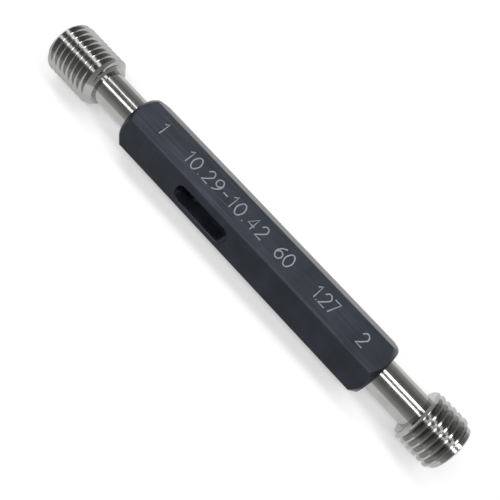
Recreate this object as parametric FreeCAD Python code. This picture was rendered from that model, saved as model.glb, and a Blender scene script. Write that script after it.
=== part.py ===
"""Double-ended taper-lock thread plug gauge for the 7/16-20 thread.

A hexagonal handle carries a GO member at one end and a NO-GO member at the
other.  Each member is one piece of hardened steel: a ground thread, a plain
neck and a slow taper that locks in the handle's socket.  A drift slot crosses
the handle where the GO taper ends, and a drift bore joins the two sockets.

All sizes are in millimetres.  The gauge lies along X with the GO member at -X
and one flat of the handle down.  The origin is under the middle of its length,
on the surface that it lies on.
"""
import FreeCAD, Part

import math
import os

# ---- thread form --------------------------------------------------------
THREADS_PER_INCH = 20
PITCH = 25.4 / THREADS_PER_INCH
FLANK_ANGLE = 30.0               # each flank leans this far from the radial; roots are sharp
TRIM_ROOM = 0.6                  # how far the trimming cones run out past the crests

# ---- GO member: full form, the longer of the two ------------------------
GO_MAJOR_DIA = 11.1125
GO_ADDENDUM = 0.4125             # from the pitch line up to the crest
GO_LENGTH = 11.9                 # gauging member, from its end face to its back face
GO_TIP_CHAMFER = 0.75
GO_BACK_CHAMFER = 1.35
GO_PHASE = 20.0                  # where a crest stands at the end face, degrees round the axis

# ---- NO-GO member: truncated crests, short ------------------------------
NOGO_MAJOR_DIA = 10.975
NOGO_ADDENDUM = 0.2755
NOGO_LENGTH = 8.3
NOGO_COLLAR_LENGTH = 1.0         # plain collar ahead of the thread
NOGO_COLLAR_DROP = 0.6375        # how far the collar lies below the crests
NOGO_COLLAR_CHAMFER = 0.25
NOGO_BACK_CHAMFER = 0.5
NOGO_PHASE = 62.3

# ---- necks and taper shanks ---------------------------------------------
NECK_DIA = 7.05
GO_NECK_LENGTH = 9.5             # from the handle's end face to the member's back face
NOGO_NECK_LENGTH = 9.5
TAPER = 1.0 / 50.0               # on diameter
SOCKET_MOUTH_DIA = 6.7
SHANK_LENGTH = 17.5              # taper held in the handle
SHANK_STANDOFF = 0.3             # gap between the neck's shoulder and the handle
SHANK_END_CHAMFER = 0.4

# ---- handle --------------------------------------------------------------
HANDLE_LENGTH = 64.0
ACROSS_FLATS = 11.0
CORNER_RADIUS = 0.25
END_FACE_DIA = 10.4
END_CHAMFER_ANGLE = 38.0         # off the axis
SOCKET_TAPER_LENGTH = 15.0       # the taper stops short of the drift slot
SOCKET_DEPTH = 19.0              # the rest is a plain run-out bore
DRIFT_BORE_DIA = 4.5
SLOT_LENGTH = 13.2
SLOT_WIDTH = 3.4
SLOT_FROM_GO_END = 22.3          # to the slot's middle
SLOT_OFFSET = 0.35               # off the flat's centre line, away from the top flat
SLOT_FLAT = 60.0                 # the slot's flat is turned this far from the top one
SLOT_EDGE_BREAK = 0.15

# ---- worked out -----------------------------------------------------------
HALF_HANDLE = HANDLE_LENGTH / 2
GO_TIP_X = -(HALF_HANDLE + GO_NECK_LENGTH + GO_LENGTH)
NOGO_TIP_X = HALF_HANDLE + NOGO_NECK_LENGTH + NOGO_LENGTH
MIDDLE_X = (GO_TIP_X + NOGO_TIP_X) / 2
AXIS_HEIGHT = max(GO_MAJOR_DIA, NOGO_MAJOR_DIA, ACROSS_FLATS) / 2

X_AXIS = FreeCAD.Vector(1, 0, 0)
Z_AXIS = FreeCAD.Vector(0, 0, 1)
ORIGIN = FreeCAD.Vector(0, 0, 0)


def turned(outline):
    """Revolve an outline of (x, radius) points about the X axis.

    A slow taper is drawn as a one-span spline: the cone is the same, and it
    comes out as one clean row of facets.
    """
    points = [FreeCAD.Vector(x, 0, radius) for x, radius in outline]
    edges = []
    for start, end in zip(points, points[1:] + points[:1]):
        step = end - start
        if 0 < abs(step.z) < 0.1 * abs(step.x):
            taper = Part.BSplineCurve()
            taper.buildFromPoles([start, end], False, 1)
            edges.append(taper.toShape())
        else:
            edges.append(Part.LineSegment(start, end).toShape())
    return Part.Face(Part.Wire(edges)).revolve(ORIGIN, X_AXIS, 360)


def thread(crest_dia, addendum, length):
    """Right-hand thread that climbs +Z, solid to its axis, crest at z 0 on +X.

    One turn of its flanks and crest is swept along a helix, and copied up by
    a pitch at a time, so that no turn drifts off its diameter.  A helicoid
    and a flat close each end.  It overruns length by a turn or more each way.
    """
    lean = math.tan(math.radians(FLANK_ANGLE))
    crest = crest_dia / 2
    root = crest - addendum - PITCH / 4 / lean
    half_crest = PITCH / 4 - addendum * lean
    section = [(root, -PITCH / 2), (crest, -half_crest), (crest, half_crest), (root, PITCH / 2)]
    outline = [FreeCAD.Vector(radius, 0, height) for radius, height in section]
    root_line = Part.makeHelix(PITCH, PITCH, root)
    one_turn = Part.Wire(root_line.Edges).makePipeShell([Part.makePolygon(outline)], False, True)
    turns = math.ceil(length / PITCH) + 3
    faces = []
    for turn in range(turns):
        copied = one_turn.copy()
        copied.translate(Z_AXIS * turn * PITCH)
        faces += copied.Faces
    foot, head = FreeCAD.Vector(0, 0, -PITCH / 2), FreeCAD.Vector(0, 0, PITCH / 2)
    half_plane = Part.Face(Part.makePolygon([foot] + outline + [head, foot]))
    axis_line = Part.makeLine(ORIGIN, Z_AXIS * PITCH)
    helicoid = Part.makeRuledSurface(root_line.Edges[0], axis_line)
    for height in (0, turns * PITCH):
        for cap, lift in ((half_plane, 0), (helicoid, -PITCH / 2)):
            closing = cap.copy()
            closing.translate(Z_AXIS * (height + lift))
            faces += closing.Faces
    shell = Part.makeShell(faces)
    shell.sewShape(1e-5)
    solid = Part.makeSolid(shell)
    if solid.Volume < 0:
        solid.reverse()
    return solid


def along_x(solid, start_x, phase):
    """Turn a solid built up +Z so that it runs along +X from start_x."""
    solid = solid.copy()
    solid.rotate(ORIGIN, Z_AXIS, phase)
    solid.rotate(ORIGIN, FreeCAD.Vector(0, 1, 0), 90)
    solid.translate(FreeCAD.Vector(start_x, 0, 0))
    return solid


def neck_and_shank(back_x, neck_length, outward):
    """Neck and taper shank, turned in one from the member's back face inward.

    outward is -1 for the member at -X and +1 for the one at +X.
    """
    neck = NECK_DIA / 2
    mouth = SOCKET_MOUTH_DIA / 2
    handle_x = back_x - outward * neck_length
    shoulder_x = handle_x + outward * SHANK_STANDOFF
    end_x = handle_x - outward * SHANK_LENGTH
    chamfer_x = end_x + outward * SHANK_END_CHAMFER
    at_chamfer = mouth - (SHANK_LENGTH - SHANK_END_CHAMFER) * TAPER / 2
    return turned([
        (back_x, 0), (back_x, neck), (shoulder_x, neck),
        (shoulder_x, mouth + SHANK_STANDOFF * TAPER / 2),
        (chamfer_x, at_chamfer), (end_x, at_chamfer - SHANK_END_CHAMFER), (end_x, 0),
    ])


def go_member():
    """GO member: full thread over the whole length, run out in both chamfers."""
    major = GO_MAJOR_DIA / 2
    back_x = GO_TIP_X + GO_LENGTH
    envelope = turned([
        (GO_TIP_X, 0), (GO_TIP_X, major - GO_TIP_CHAMFER),
        (GO_TIP_X + GO_TIP_CHAMFER + TRIM_ROOM, major + TRIM_ROOM),
        (back_x - GO_BACK_CHAMFER - TRIM_ROOM, major + TRIM_ROOM),
        (back_x, major - GO_BACK_CHAMFER), (back_x, 0),
    ])
    blank = along_x(thread(GO_MAJOR_DIA, GO_ADDENDUM, GO_LENGTH), GO_TIP_X - PITCH, GO_PHASE)
    return blank.common(envelope).fuse(neck_and_shank(back_x, GO_NECK_LENGTH, -1)).removeSplitter()


def no_go_member():
    """NO-GO member: truncated thread that starts behind a plain collar."""
    major = NOGO_MAJOR_DIA / 2
    collar = major - NOGO_COLLAR_DROP
    back_x = NOGO_TIP_X - NOGO_LENGTH
    collar_x = NOGO_TIP_X - NOGO_COLLAR_LENGTH
    envelope = turned([
        (back_x, 0), (back_x, major - NOGO_BACK_CHAMFER),
        (back_x + NOGO_BACK_CHAMFER + TRIM_ROOM, major + TRIM_ROOM),
        (collar_x, major + TRIM_ROOM), (collar_x, 0),
    ])
    blank = along_x(thread(NOGO_MAJOR_DIA, NOGO_ADDENDUM, NOGO_LENGTH), back_x - PITCH, NOGO_PHASE)
    lead = turned([
        (collar_x, 0), (collar_x, collar), (NOGO_TIP_X - NOGO_COLLAR_CHAMFER, collar),
        (NOGO_TIP_X, collar - NOGO_COLLAR_CHAMFER), (NOGO_TIP_X, 0),
    ])
    neck = neck_and_shank(back_x, NOGO_NECK_LENGTH, 1)
    return blank.common(envelope).fuse([lead, neck]).removeSplitter()


def hexagon_bar():
    """Hexagonal bar with slightly rounded edges, one flat up and one down."""
    corner = ACROSS_FLATS / 2 / math.cos(math.radians(30))
    points = []
    for index in range(6):
        angle = math.radians(60 * index)
        points.append(FreeCAD.Vector(-HALF_HANDLE, corner * math.cos(angle), corner * math.sin(angle)))
    prism = Part.Face(Part.makePolygon(points + points[:1])).extrude(X_AXIS * HANDLE_LENGTH)
    long_edges = [edge for edge in prism.Edges if abs(edge.BoundBox.XLength - HANDLE_LENGTH) < 1e-6]
    return prism.makeFillet(CORNER_RADIUS, long_edges)


def end_chamfers():
    """Turned blank whose two cones cut the bar's corners away in arcs."""
    face = END_FACE_DIA / 2
    wide = ACROSS_FLATS / math.sqrt(3) + 1.0
    run = (wide - face) / math.tan(math.radians(END_CHAMFER_ANGLE))
    return turned([
        (-HALF_HANDLE, 0), (-HALF_HANDLE, face), (-HALF_HANDLE + run, wide),
        (HALF_HANDLE - run, wide), (HALF_HANDLE, face), (HALF_HANDLE, 0),
    ])


def socket(outward):
    """Taper socket and the run-out bore behind it, as the solid that is cut away."""
    mouth = SOCKET_MOUTH_DIA / 2
    run_out = mouth - SOCKET_TAPER_LENGTH * TAPER / 2
    face_x = outward * HALF_HANDLE
    taper_end_x = face_x - outward * SOCKET_TAPER_LENGTH
    bottom_x = face_x - outward * SOCKET_DEPTH
    return turned([
        (bottom_x, 0), (bottom_x, run_out), (taper_end_x, run_out), (face_x, mouth), (face_x, 0),
    ])


def obround_prism(length, width, height):
    """Obround with its length along X and its middle at the origin, built up +Z."""
    half = width / 2
    reach = length / 2 - half
    right = Part.Arc(FreeCAD.Vector(reach, -half, 0), FreeCAD.Vector(length / 2, 0, 0),
                     FreeCAD.Vector(reach, half, 0))
    left = Part.Arc(FreeCAD.Vector(-reach, half, 0), FreeCAD.Vector(-length / 2, 0, 0),
                    FreeCAD.Vector(-reach, -half, 0))
    top = Part.LineSegment(FreeCAD.Vector(reach, half, 0), FreeCAD.Vector(-reach, half, 0))
    bottom = Part.LineSegment(FreeCAD.Vector(-reach, -half, 0), FreeCAD.Vector(reach, -half, 0))
    outline = Part.Wire([right.toShape(), top.toShape(), left.toShape(), bottom.toShape()])
    return outline, Part.Face(outline).extrude(Z_AXIS * height)


def drift_slot():
    """The slot through the handle, with its edges broken at both flats."""
    half_flats = ACROSS_FLATS / 2
    _, through = obround_prism(SLOT_LENGTH, SLOT_WIDTH, ACROSS_FLATS + 2)
    through.translate(FreeCAD.Vector(0, 0, -half_flats - 1))
    cutters = [through]
    for side in (1, -1):
        inner, _ = obround_prism(SLOT_LENGTH, SLOT_WIDTH, 1)
        outer, _ = obround_prism(SLOT_LENGTH + 2 * SLOT_EDGE_BREAK, SLOT_WIDTH + 2 * SLOT_EDGE_BREAK, 1)
        inner.translate(FreeCAD.Vector(0, 0, side * (half_flats - SLOT_EDGE_BREAK)))
        outer.translate(FreeCAD.Vector(0, 0, side * half_flats))
        cutters.append(Part.makeLoft([inner, outer], True, True))
    slot_x = SLOT_FROM_GO_END - HALF_HANDLE
    slots = []
    for cutter in cutters:
        cutter.translate(FreeCAD.Vector(slot_x, -SLOT_OFFSET, 0))
        cutter.rotate(ORIGIN, X_AXIS, SLOT_FLAT)
        slots.append(cutter)
    return slots


def handle():
    """Hexagonal handle with its sockets, drift bore and drift slot."""
    bar = hexagon_bar().common(end_chamfers())
    bore_length = HANDLE_LENGTH - 2 * (SOCKET_DEPTH - 1)
    bore = Part.makeCylinder(DRIFT_BORE_DIA / 2, bore_length,
                             FreeCAD.Vector(-bore_length / 2, 0, 0), X_AXIS)
    return bar.cut([socket(-1), socket(1), bore] + drift_slot()).removeSplitter()


def export(name, shape):
    """Place a piece in the part's frame, report it and write its STEP file."""
    solid = shape.Solids[0] if len(shape.Solids) == 1 else shape
    solid.translate(FreeCAD.Vector(-MIDDLE_X, 0, AXIS_HEIGHT))
    box = solid.BoundBox
    print(f"{name}: solids {len(shape.Solids)} valid {solid.isValid()} volume {solid.Volume:.2f} "
          f"x {box.XMin:.3f}..{box.XMax:.3f} z {box.ZMin:.3f}..{box.ZMax:.3f}")
    solid.exportStep(f"parts/{name}.step")


def main():
    os.makedirs("parts", exist_ok=True)
    export("handle", handle())
    export("go_plug", go_member())
    export("no_go_plug", no_go_member())


main()
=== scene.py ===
"""A double-ended thread plug gauge: two hard steel threaded members in a black hexagon handle, lying on a flat."""

import logging
import math
from dataclasses import dataclass
from enum import Enum

import bpy
from mathutils import Matrix, Vector

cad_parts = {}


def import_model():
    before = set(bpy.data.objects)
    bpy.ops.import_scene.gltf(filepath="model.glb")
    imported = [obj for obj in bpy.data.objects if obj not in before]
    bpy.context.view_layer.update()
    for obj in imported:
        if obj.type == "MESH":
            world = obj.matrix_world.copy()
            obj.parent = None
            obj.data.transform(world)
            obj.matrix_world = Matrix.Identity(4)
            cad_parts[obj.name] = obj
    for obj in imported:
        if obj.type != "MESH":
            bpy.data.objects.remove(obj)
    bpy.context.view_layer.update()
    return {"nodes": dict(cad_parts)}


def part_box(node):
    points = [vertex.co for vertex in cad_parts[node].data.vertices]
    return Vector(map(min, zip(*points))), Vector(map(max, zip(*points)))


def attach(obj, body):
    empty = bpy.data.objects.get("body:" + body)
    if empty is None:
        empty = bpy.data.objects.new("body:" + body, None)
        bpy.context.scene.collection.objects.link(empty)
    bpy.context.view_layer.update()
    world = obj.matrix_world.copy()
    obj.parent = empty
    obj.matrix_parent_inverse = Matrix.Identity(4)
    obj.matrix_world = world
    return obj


LOG = logging.getLogger("thread_plug_gauge")
MM = 0.001


class Slot(Enum):
    """A material slot of the record; no piece in this script is given it."""

    GAUGE_STEEL = "gauge_steel"


def linear(code: str) -> tuple[float, float, float, float]:
    """Turns an sRGB hex value into a linear colour.

    Args:
        code: The colour as "#RRGGBB".

    Returns:
        Red, green, blue and an alpha of 1.
    """
    parts = [int(code[i : i + 2], 16) / 255 for i in (1, 3, 5)]
    return (*[p / 12.92 if p <= 0.04045 else ((p + 0.055) / 1.055) ** 2.4 for p in parts], 1.0)


def add_node(
    tree: bpy.types.NodeTree,
    kind: str,
    settings: dict[str, object] | None = None,
    inputs: dict[str | int, object] | None = None,
) -> bpy.types.Node:
    """Adds one node with its settings and its inputs.

    Args:
        tree: The node tree that gets the node.
        kind: The node's type name.
        settings: Attributes of the node.
        inputs: Socket name or number to a constant, or to the output socket linked into it.

    Returns:
        The new node.
    """
    made = tree.nodes.new(kind)
    for name, value in (settings or {}).items():
        setattr(made, name, value)
    for key, value in (inputs or {}).items():
        if isinstance(value, bpy.types.NodeSocket):
            tree.links.new(value, made.inputs[key])
        else:
            made.inputs[key].default_value = value
    return made


def new_material(name: str) -> tuple[bpy.types.Material, bpy.types.NodeTree, bpy.types.Node]:
    """Makes an empty material with its output node.

    Args:
        name: The finish's common name and how its surface is made.

    Returns:
        The material, its node tree and its output node.
    """
    material = bpy.data.materials.new(name)
    material.use_nodes = True
    material.node_tree.nodes.clear()
    return material, material.node_tree, material.node_tree.nodes.new("ShaderNodeOutputMaterial")


def add_grain(
    tree: bpy.types.NodeTree, place: bpy.types.NodeSocket, size_mm: float, detail: float
) -> bpy.types.NodeSocket:
    """Adds a noise whose patches have a stated size.

    Args:
        tree: The node tree that gets the noise.
        place: The coordinates it is laid over.
        size_mm: The size of a patch.
        detail: How many finer layers it has.

    Returns:
        The noise's value.
    """
    inputs = {"Vector": place, "Scale": 1 / (size_mm * MM), "Detail": detail}
    return add_node(tree, "ShaderNodeTexNoise", inputs=inputs).outputs[0]


def add_stretch(
    tree: bpy.types.NodeTree, place: bpy.types.NodeSocket, scale: tuple[float, float, float]
) -> bpy.types.NodeSocket:
    """Scales coordinates along each axis, so that what is laid over them is drawn out where the scale is small.

    Args:
        tree: The node tree that gets the node.
        place: The coordinates.
        scale: The scale along X, Y and Z.

    Returns:
        The scaled coordinates.
    """
    return add_node(tree, "ShaderNodeMapping", inputs={"Vector": place, "Scale": scale}).outputs[0]


def add_blend(
    tree: bpy.types.NodeTree,
    share: bpy.types.NodeSocket,
    first: bpy.types.NodeSocket | tuple[float, float, float, float],
    second: bpy.types.NodeSocket | tuple[float, float, float, float],
) -> bpy.types.NodeSocket:
    """Adds a mix of two colours.

    Args:
        tree: The node tree that gets the mix.
        share: How much of the second colour shows, 0 to 1.
        first: The colour at 0.
        second: The colour at 1.

    Returns:
        The mixed colour.
    """
    inputs = {"Factor": share, 6: first, 7: second}
    return add_node(tree, "ShaderNodeMix", {"data_type": "RGBA"}, inputs).outputs[2]


def add_gloss(
    tree: bpy.types.NodeTree, grain: bpy.types.NodeSocket, smooth: float, rough: float
) -> bpy.types.NodeSocket:
    """Turns the middle of a grain's range into a roughness.

    Args:
        tree: The node tree that gets the nodes.
        grain: The grain's value.
        smooth: The lowest roughness.
        rough: The highest roughness.

    Returns:
        The roughness.
    """
    inputs = {"Value": grain, "From Min": 0.3, "From Max": 0.7, "To Min": smooth, "To Max": rough}
    return add_node(tree, "ShaderNodeMapRange", inputs=inputs).outputs[0]


def add_bump(
    tree: bpy.types.NodeTree, grain: bpy.types.NodeSocket, strength: float, depth_mm: float
) -> bpy.types.NodeSocket:
    """Turns a grain into a relief of a stated depth.

    Args:
        tree: The node tree that gets the node.
        grain: The grain's value.
        strength: How much of the relief shows, 0 to 1.
        depth_mm: The depth of the relief.

    Returns:
        The relief's normal.
    """
    inputs = {"Height": grain, "Strength": strength, "Distance": depth_mm * MM}
    return add_node(tree, "ShaderNodeBump", inputs=inputs).outputs[0]


def select_only(obj: bpy.types.Object) -> None:
    """Deselects everything, then selects one object and makes it active.

    Args:
        obj: The object.
    """
    bpy.ops.object.select_all(action="DESELECT")
    obj.select_set(True)
    bpy.context.view_layer.objects.active = obj


def put_on(obj: bpy.types.Object, material: bpy.types.Material) -> None:
    """Gives an object one material in place of those it has.

    Args:
        obj: The object.
        material: Its finish.
    """
    obj.data.materials.clear()
    obj.data.materials.append(material)


@dataclass(frozen=True)
class BlackOxide:
    """Hot black oxide on milled and polished alloy steel bar.

    The eye sees a blue-grey satin that is not quite even, faint lines along the bar from the mill, and ridges and
    edges that handling has rubbed a little paler.
    """

    tone: str = "#0C0F13"
    pale_tone: str = "#1E222B"
    rubbed_tone: str = "#3C3E44"
    sheen_tint: str = "#DCE8FA"
    blotch_mm: float = 5.0
    mill_line_mm: float = 0.3
    mill_line_stretch: float = 0.02
    mill_line_depth_mm: float = 0.01
    relief: float = 0.25
    smooth: float = 0.24
    rough: float = 0.44
    oxide_ior: float = 1.38
    axis_height_mm: float = 5.55
    ridge_radius_mm: float = 6.2
    ridge_fade_mm: float = 0.12
    ridge_rub: float = 0.6

    def build(self) -> bpy.types.Material:
        """Builds the material.

        Returns:
            The black oxide material.
        """
        material, tree, output = new_material("black_oxide_on_milled_steel")
        place = add_node(tree, "ShaderNodeTexCoord").outputs["Object"]
        blotches = add_grain(tree, place, self.blotch_mm, 4.0)
        lines = add_grain(tree, add_stretch(tree, place, (self.mill_line_stretch, 1.0, 1.0)), self.mill_line_mm, 2.0)
        patchy = add_node(tree, "ShaderNodeMapRange", inputs={"Value": blotches, "From Min": 0.35, "From Max": 0.65})
        body = add_blend(tree, patchy.outputs[0], linear(self.tone), linear(self.pale_tone))
        colour = add_blend(tree, self.find_ridges(tree, place), body, linear(self.rubbed_tone))
        shader = add_node(
            tree,
            "ShaderNodeBsdfPrincipled",
            inputs={
                "Base Color": colour,
                "Roughness": add_gloss(tree, lines, self.smooth, self.rough),
                "IOR": self.oxide_ior,
                "Specular Tint": linear(self.sheen_tint),
                "Normal": add_bump(tree, lines, self.relief, self.mill_line_depth_mm),
            },
        )
        tree.links.new(shader.outputs[0], output.inputs["Surface"])
        return material

    def find_ridges(self, tree: bpy.types.NodeTree, place: bpy.types.NodeSocket) -> bpy.types.NodeSocket:
        """Tells ridges from flats by their distance from the bar's own axis.

        Args:
            tree: The node tree that gets the nodes.
            place: The object's coordinates.

        Returns:
            How far the oxide is rubbed: 0 on the flats, rising over the ridges.
        """
        centred = add_node(
            tree,
            "ShaderNodeMapping",
            inputs={"Vector": place, "Location": (0.0, 0.0, -self.axis_height_mm * MM), "Scale": (0.0, 1.0, 1.0)},
        )
        radius = add_node(tree, "ShaderNodeVectorMath", {"operation": "LENGTH"}, {0: centred.outputs[0]})
        ridge = add_node(
            tree,
            "ShaderNodeMapRange",
            {"interpolation_type": "SMOOTHSTEP"},
            {
                "Value": radius.outputs["Value"],
                "From Min": self.ridge_radius_mm * MM,
                "From Max": (self.ridge_radius_mm + self.ridge_fade_mm) * MM,
                "To Max": self.ridge_rub,
            },
        )
        return ridge.outputs[0]


@dataclass(frozen=True)
class LappedSteel:
    """Hardened tool steel, cylindrically ground and lapped.

    The eye sees a cool bright metal whose long highlights are drawn round the axis by fine grinding rings, which are
    drawn coarser here than the real ones so that they show.
    """

    tone: str = "#B5B5B3"
    dull_tone: str = "#9C9C9A"
    haze_mm: float = 2.5
    ring_mm: float = 0.12
    ring_stretch: float = 0.03
    ring_depth_mm: float = 0.004
    relief: float = 0.3
    smooth: float = 0.1
    rough: float = 0.2

    def build(self) -> bpy.types.Material:
        """Builds the material.

        Returns:
            The gauge steel material.
        """
        material, tree, output = new_material("lapped_tool_steel")
        place = add_node(tree, "ShaderNodeTexCoord").outputs["Object"]
        drawn_out = add_stretch(tree, place, (1.0, self.ring_stretch, self.ring_stretch))
        rings = add_grain(tree, drawn_out, self.ring_mm, 3.0)
        haze = add_grain(tree, place, self.haze_mm, 3.0)
        shader = add_node(
            tree,
            "ShaderNodeBsdfPrincipled",
            inputs={
                "Base Color": add_blend(tree, haze, linear(self.tone), linear(self.dull_tone)),
                "Metallic": 1.0,
                "Roughness": add_gloss(tree, rings, self.smooth, self.rough),
                "Normal": add_bump(tree, rings, self.relief, self.ring_depth_mm),
            },
        )
        tree.links.new(shader.outputs[0], output.inputs["Surface"])
        return material


@dataclass(frozen=True)
class EngravedSteel:
    """Steel bared by a pantograph engraver after blacking.

    The eye sees thin pale grey strokes, uneven where the cutter left the oxide in the groove.
    """

    tone: str = "#B4B7BC"
    dark_tone: str = "#6E7178"
    patch_mm: float = 0.25
    roughness: float = 0.6

    def build(self) -> bpy.types.Material:
        """Builds the material.

        Returns:
            The engraved stroke material.
        """
        material, tree, output = new_material("engraved_bare_steel")
        place = add_node(tree, "ShaderNodeTexCoord").outputs["Object"]
        patches = add_grain(tree, place, self.patch_mm, 2.0)
        tone = add_blend(tree, patches, linear(self.dark_tone), linear(self.tone))
        shader = add_node(tree, "ShaderNodeBsdfPrincipled", inputs={"Base Color": tone, "Roughness": self.roughness})
        tree.links.new(shader.outputs[0], output.inputs["Surface"])
        return material


@dataclass(frozen=True)
class WhitePaper:
    """Matt white background paper, evenly lit, that keeps the soft shadow of what lies on it.

    The lift is a glow that shows to the camera, in mirrors and through glass, but doesn't light the gauge's matt parts.
    """

    tone: str = "#CFCFCF"
    lift: float = 0.42

    def build(self) -> bpy.types.Material:
        """Builds the material.

        Returns:
            The paper material.
        """
        material, tree, output = new_material("matt_white_paper")
        diffuse = add_node(tree, "ShaderNodeBsdfDiffuse", inputs={"Color": linear(self.tone)})
        path = add_node(tree, "ShaderNodeLightPath")
        seen = add_node(
            tree,
            "ShaderNodeMath",
            {"operation": "MAXIMUM"},
            {0: path.outputs["Is Camera Ray"], 1: path.outputs["Is Glossy Ray"]},
        )
        shown = add_node(
            tree,
            "ShaderNodeMath",
            {"operation": "MAXIMUM"},
            {0: seen.outputs[0], 1: path.outputs["Is Transmission Ray"]},
        )
        strength = add_node(tree, "ShaderNodeMath", {"operation": "MULTIPLY"}, {0: shown.outputs[0], 1: self.lift})
        glow = add_node(tree, "ShaderNodeEmission", inputs={"Strength": strength.outputs[0]})
        both = add_node(tree, "ShaderNodeAddShader", inputs={0: diffuse.outputs[0], 1: glow.outputs[0]})
        tree.links.new(both.outputs[0], output.inputs["Surface"])
        return material


class Turn(Enum):
    """How a stroke passes through one of its points."""

    ROUND = "AUTO"
    SHARP = "VECTOR"


@dataclass(frozen=True)
class Stroke:
    """One pull of the engraver's cutter, in a box one unit high.

    The last sharp_tail points are passed sharply, whatever the turn of the others.
    """

    points: tuple[tuple[float, float], ...]
    turn: Turn = Turn.SHARP
    closed: bool = False
    sharp_tail: int = 0


@dataclass(frozen=True)
class Digit:
    """A plain number or mark made of a few strokes; its width is a share of its height."""

    width: float
    strokes: tuple[Stroke, ...]


DIGITS = {
    "0": Digit(
        0.56,
        (Stroke(((0.28, 1.0), (0.56, 0.7), (0.56, 0.3), (0.28, 0.0), (0.0, 0.3), (0.0, 0.7)), Turn.ROUND, True),),
    ),
    "1": Digit(0.3, (Stroke(((0.0, 0.78), (0.24, 1.0), (0.24, 0.0))),)),
    "2": Digit(
        0.56,
        (
            Stroke(
                ((0.0, 0.76), (0.28, 1.0), (0.55, 0.74), (0.38, 0.42), (0.0, 0.0), (0.56, 0.0)),
                Turn.ROUND,
                sharp_tail=2,
            ),
        ),
    ),
    "4": Digit(0.58, (Stroke(((0.44, 0.0), (0.44, 1.0), (0.0, 0.3), (0.58, 0.3))),)),
    "6": Digit(
        0.56,
        (
            Stroke(
                ((0.5, 0.97), (0.14, 0.72), (0.0, 0.3), (0.28, 0.0), (0.56, 0.3), (0.28, 0.57), (0.02, 0.36)),
                Turn.ROUND,
            ),
        ),
    ),
    "7": Digit(0.54, (Stroke(((0.0, 1.0), (0.54, 1.0), (0.16, 0.0))),)),
    "9": Digit(
        0.56,
        (
            Stroke(
                ((0.06, 0.03), (0.42, 0.28), (0.56, 0.7), (0.28, 1.0), (0.0, 0.7), (0.28, 0.43), (0.54, 0.64)),
                Turn.ROUND,
            ),
        ),
    ),
    ".": Digit(0.06, (Stroke(((0.0, 0.02), (0.06, 0.02))),)),
    "-": Digit(0.42, (Stroke(((0.0, 0.46), (0.42, 0.46))),)),
}


@dataclass(frozen=True)
class Marking:
    """A group of plain numbers and where it runs along the handle."""

    words: str
    start_mm: float
    end_mm: float


@dataclass
class Handle:
    """The hexagon handle, with plain numbers engraved along its upper flat."""

    node: str = "handle"
    height_mm: float = 2.9
    stroke_mm: float = 0.27
    proud_mm: float = 0.015
    bevel_steps: int = 1
    bend_steps: int = 6
    go_end_middle_mm: float = 0.3
    no_go_end_middle_mm: float = 0.1
    markings: tuple[Marking, ...] = (
        Marking("1", -24.3, -23.5),
        Marking("10.29-10.42", -17.3, 3.4),
        Marking("60", 6.4, 10.2),
        Marking("1.27", 16.0, 21.3),
        Marking("2", 27.1, 28.5),
    )

    def draw_marking(self, marking: Marking) -> bpy.types.Object:
        """Draws one group of numbers as round-ended strokes, spaced to fill its run.

        Args:
            marking: The numbers and their run along the handle.

        Returns:
            A mesh with its place in its vertices, half sunk in the upper flat.
        """
        rise = (self.height_mm - self.stroke_mm) * MM
        digits = [DIGITS[letter] for letter in marking.words]
        room = (marking.end_mm - marking.start_mm - self.stroke_mm) * MM - sum(d.width for d in digits) * rise
        gap = room / (len(digits) - 1) if len(digits) > 1 else 0.0
        curve = bpy.data.curves.new("engraved_" + marking.words, "CURVE")
        curve.dimensions = "3D"
        curve.bevel_depth = self.stroke_mm / 2 * MM
        curve.bevel_resolution = self.bevel_steps
        curve.resolution_u = self.bend_steps
        curve.use_fill_caps = True
        pen = 0.0 if len(digits) > 1 else room / 2
        for digit in digits:
            for stroke in digit.strokes:
                spline = curve.splines.new("BEZIER")
                spline.bezier_points.add(len(stroke.points) - 1)
                spline.use_cyclic_u = stroke.closed
                for place, (point, (x, y)) in enumerate(zip(spline.bezier_points, stroke.points)):
                    point.co = (pen + x * rise, y * rise, 0.0)
                    sharp = place >= len(stroke.points) - stroke.sharp_tail
                    turn = Turn.SHARP if sharp else stroke.turn
                    point.handle_left_type = point.handle_right_type = turn.value
            pen += digit.width * rise + gap
        obj = bpy.data.objects.new(curve.name, curve)
        bpy.context.scene.collection.objects.link(obj)
        select_only(obj)
        bpy.ops.object.convert(target="MESH")
        return bpy.context.object

    def build(self) -> list[bpy.types.Object]:
        """Engraves the numbers and lays each group on the upper flat.

        Returns:
            One mesh object for each group of numbers.
        """
        low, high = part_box(self.node)
        groups = []
        for number, marking in enumerate(self.markings):
            piece = self.draw_marking(marking)
            piece.name = f"engraved_numbers_{number + 1}"
            middle = (marking.start_mm + marking.end_mm) / 2 * MM
            share = (middle - low.x) / (high.x - low.x)
            across = self.go_end_middle_mm + (self.no_go_end_middle_mm - self.go_end_middle_mm) * share
            foot = (across - (self.height_mm - self.stroke_mm) / 2) * MM
            flatten = Matrix.Diagonal((1.0, 1.0, 2 * self.proud_mm / self.stroke_mm, 1.0))
            start = (marking.start_mm + self.stroke_mm / 2) * MM
            piece.data.transform(Matrix.Translation((start, foot, high.z)) @ flatten)
            groups.append(piece)
        return groups

    def dress(
        self,
        nodes: dict[str, bpy.types.Object],
        groups: list[bpy.types.Object],
        oxide: bpy.types.Material,
        bare: bpy.types.Material,
    ) -> None:
        """Gives the bar its oxide and the numbers their bare steel.

        Args:
            nodes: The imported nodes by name.
            groups: The engraved numbers.
            oxide: The bar's finish.
            bare: The engraved strokes' finish.
        """
        put_on(nodes[self.node], oxide)
        for piece in groups:
            put_on(piece, bare)
            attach(piece, "root")
            LOG.info("%s: %d faces", piece.name, len(piece.data.polygons))


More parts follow.
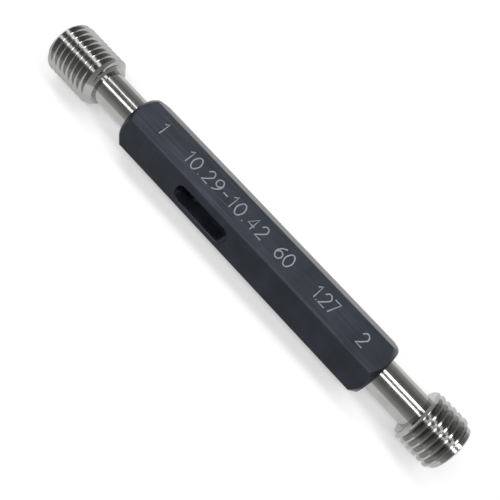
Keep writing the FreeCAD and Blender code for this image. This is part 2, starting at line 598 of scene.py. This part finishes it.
@dataclass
class ThreadedMember:
    """One of the two gauging members: thread, neck and taper shank in one piece of steel."""

    node: str

    def dress(self, nodes: dict[str, bpy.types.Object], steel: bpy.types.Material) -> None:
        """Gives the member its ground and lapped steel.

        Args:
            nodes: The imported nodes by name.
            steel: The member's finish.
        """
        put_on(nodes[self.node], steel)
        LOG.info("%s: %d faces", self.node, len(nodes[self.node].data.polygons))


@dataclass(frozen=True)
class Tube:
    """A long lamp overhead: its lean from straight up towards +Y, its turn in plan, and its face's radiance."""

    name: str
    lean_deg: float
    plan_turn_deg: float
    length_m: float
    width_m: float
    away_m: float
    brightness: float


@dataclass
class Studio:
    """The paper, lamps and camera round the gauge."""

    paper_size_m: float = 6.0
    paper_gap_mm: float = 0.02
    camera_place_mm: tuple[float, float, float] = (19.03, -39.73, 112.17)
    camera_target_mm: tuple[float, float, float] = (2.507, -1.538, 4.983)
    camera_roll_deg: float = 46.743
    lens_mm: float = 45.03
    sensor_mm: float = 36.0
    clip_start_m: float = 0.005
    horizon: str = "#BEBEBE"
    zenith: str = "#787878"
    zenith_height: float = 0.8
    tubes: tuple[Tube, ...] = (
        Tube("far_tube", 15.3, -8.4, 1.3, 0.13, 0.6, 5.1),
        Tube("near_tube", -14.8, 5.3, 1.3, 0.105, 0.6, 4.6),
    )

    def build_paper(self) -> bpy.types.Object:
        """Lays the paper under the gauge.

        Returns:
            The paper.
        """
        bpy.ops.object.select_all(action="DESELECT")
        bpy.ops.mesh.primitive_plane_add(size=self.paper_size_m, location=(0, 0, -self.paper_gap_mm * MM))
        paper = bpy.context.object
        paper.name = "paper"
        put_on(paper, WhitePaper().build())
        return paper

    def build_world(self) -> None:
        """Gives the room its tone: pale at the horizon and greyer overhead."""
        world = bpy.data.worlds.new("room")
        bpy.context.scene.world = world
        world.use_nodes = True
        tree = world.node_tree
        tree.nodes.clear()
        sky = add_node(tree, "ShaderNodeTexCoord").outputs["Generated"]
        way = add_node(tree, "ShaderNodeSeparateXYZ", inputs={0: sky})
        rise = add_node(
            tree,
            "ShaderNodeMapRange",
            {"interpolation_type": "SMOOTHSTEP"},
            {"Value": way.outputs["Z"], "From Min": 0.0, "From Max": self.zenith_height},
        )
        tone = add_blend(tree, rise.outputs[0], linear(self.horizon), linear(self.zenith))
        glow = add_node(tree, "ShaderNodeBackground", inputs={"Color": tone, "Strength": 1.0})
        tree.links.new(glow.outputs[0], tree.nodes.new("ShaderNodeOutputWorld").inputs["Surface"])

    def hang_tube(self, tube: Tube) -> None:
        """Hangs one long lamp over the gauge.

        Args:
            tube: The lamp's place, size and brightness.
        """
        lamp = bpy.data.lights.new(tube.name, "AREA")
        lamp.shape = "RECTANGLE"
        lamp.size, lamp.size_y = tube.length_m, tube.width_m
        lamp.energy = tube.brightness * math.pi * tube.length_m * tube.width_m
        obj = bpy.data.objects.new(tube.name, lamp)
        lean = math.radians(tube.lean_deg)
        obj.location = (0.0, tube.away_m * math.sin(lean), tube.away_m * math.cos(lean))
        turned = Matrix.Rotation(math.radians(tube.plan_turn_deg), 3, "Z") @ Matrix.Rotation(-lean, 3, "X")
        obj.rotation_euler = turned.to_euler()
        bpy.context.scene.collection.objects.link(obj)

    def build_camera(self) -> None:
        """Stands the camera over the gauge, turned so that the gauge runs from upper left to lower right."""
        place = Vector(self.camera_place_mm) * MM
        forward = (Vector(self.camera_target_mm) * MM - place).normalized()
        right = (Vector((1, 0, 0)) - forward * forward.x).normalized()
        up = right.cross(forward)
        roll = math.radians(self.camera_roll_deg)
        side = right * math.cos(roll) + up * math.sin(roll)
        top = up * math.cos(roll) - right * math.sin(roll)
        data = bpy.data.cameras.new("camera")
        data.lens = self.lens_mm
        data.sensor_width = self.sensor_mm
        data.clip_start = self.clip_start_m
        camera = bpy.data.objects.new("camera", data)
        turn = Matrix((side, top, -forward)).transposed().to_4x4()
        camera.matrix_world = Matrix.Translation(place) @ turn
        bpy.context.scene.collection.objects.link(camera)
        bpy.context.scene.camera = camera

    def build(self) -> None:
        """Builds the paper, the room, the tubes and the camera."""
        self.build_paper()
        self.build_world()
        for tube in self.tubes:
            self.hang_tube(tube)
        self.build_camera()
        bpy.context.scene.view_settings.view_transform = "Standard"


def main() -> None:
    """Builds the gauge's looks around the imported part, and the studio."""
    logging.basicConfig(level=logging.INFO, format="%(name)s: %(message)s")
    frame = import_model()
    steel = LappedSteel().build()
    handle = Handle()
    handle.dress(frame["nodes"], handle.build(), BlackOxide().build(), EngravedSteel().build())
    for member in (ThreadedMember("go_plug"), ThreadedMember("no_go_plug")):
        member.dress(frame["nodes"], steel)
    Studio().build()


if __name__ == "__main__":
    main()
